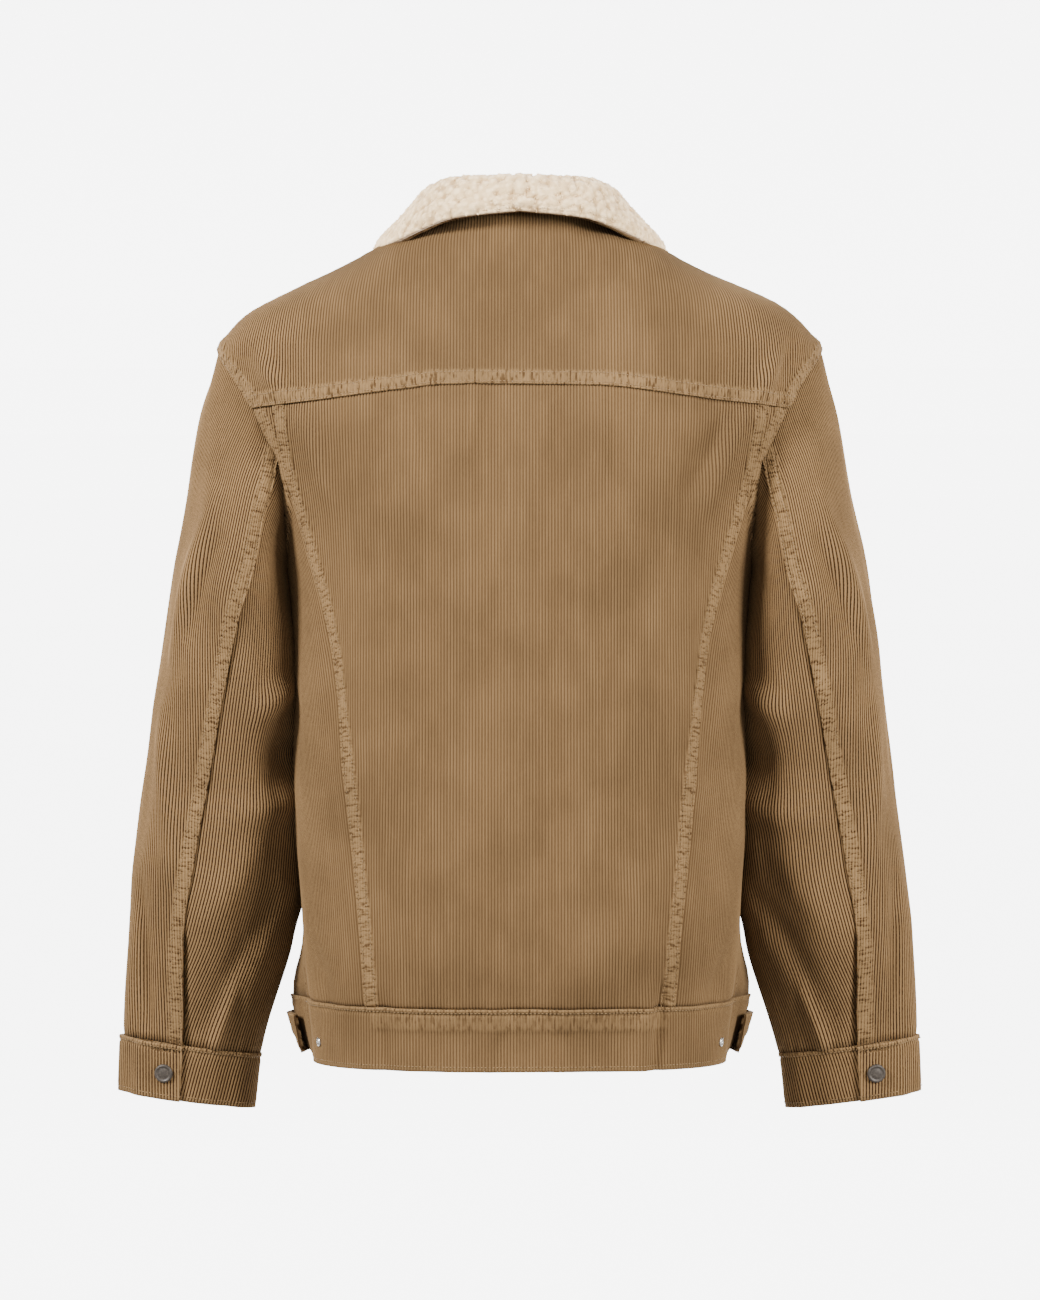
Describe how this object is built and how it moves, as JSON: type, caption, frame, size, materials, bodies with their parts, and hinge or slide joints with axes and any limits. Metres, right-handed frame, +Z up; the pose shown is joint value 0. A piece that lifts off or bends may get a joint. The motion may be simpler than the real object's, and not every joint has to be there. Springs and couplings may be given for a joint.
{
  "type": "jacket",
  "caption": "Waist-length corduroy trucker jacket with a cream pile fold-over collar, back yoke, slanting back seams, snap cuffs and waist tabs, filled out as worn.",
  "frame": {"origin": "middle of the neck opening, level with the tops of the shoulder seams", "axes": "+Z up along the wearer's spine; -Y out of the jacket's front, +Y out of its back; +X towards the wearer's left"},
  "size_m": [0.6478, 0.2744, 0.739],
  "materials": {
    "corduroy": "ribbed pile cloth, matt",
    "pile": "curly cream pile, matt",
    "dark_snap": "darkened, satin",
    "bright_stud": "satin"
  },
  "bodies": {
    "root": {"back_centre": "corduroy", "back_side_left": "corduroy", "back_side_right": "corduroy", "yoke_back": "corduroy", "front_left": "corduroy", "front_right": "corduroy", "waistband_back": "corduroy", "waistband_front_left": "corduroy", "waistband_front_right": "corduroy", "sleeve_top_left": "corduroy", "sleeve_under_left": "corduroy", "cuff_left": "corduroy", "sleeve_top_right": "corduroy", "sleeve_under_right": "corduroy", "cuff_right": "corduroy", "collar_under": "corduroy", "tab_left": "corduroy", "tab_right": "corduroy", "collar_top": "pile", "snap_front_1": "dark_snap", "snap_front_2": "dark_snap", "snap_front_3": "dark_snap", "snap_front_4": "dark_snap", "snap_front_5": "dark_snap", "snap_waistband": "dark_snap", "snap_tab_left": "dark_snap", "snap_tab_right": "dark_snap", "snap_cuff_left": "dark_snap", "snap_cuff_right": "dark_snap", "stud_left": "bright_stud", "stud_right": "bright_stud"}
  },
  "joints": []
}
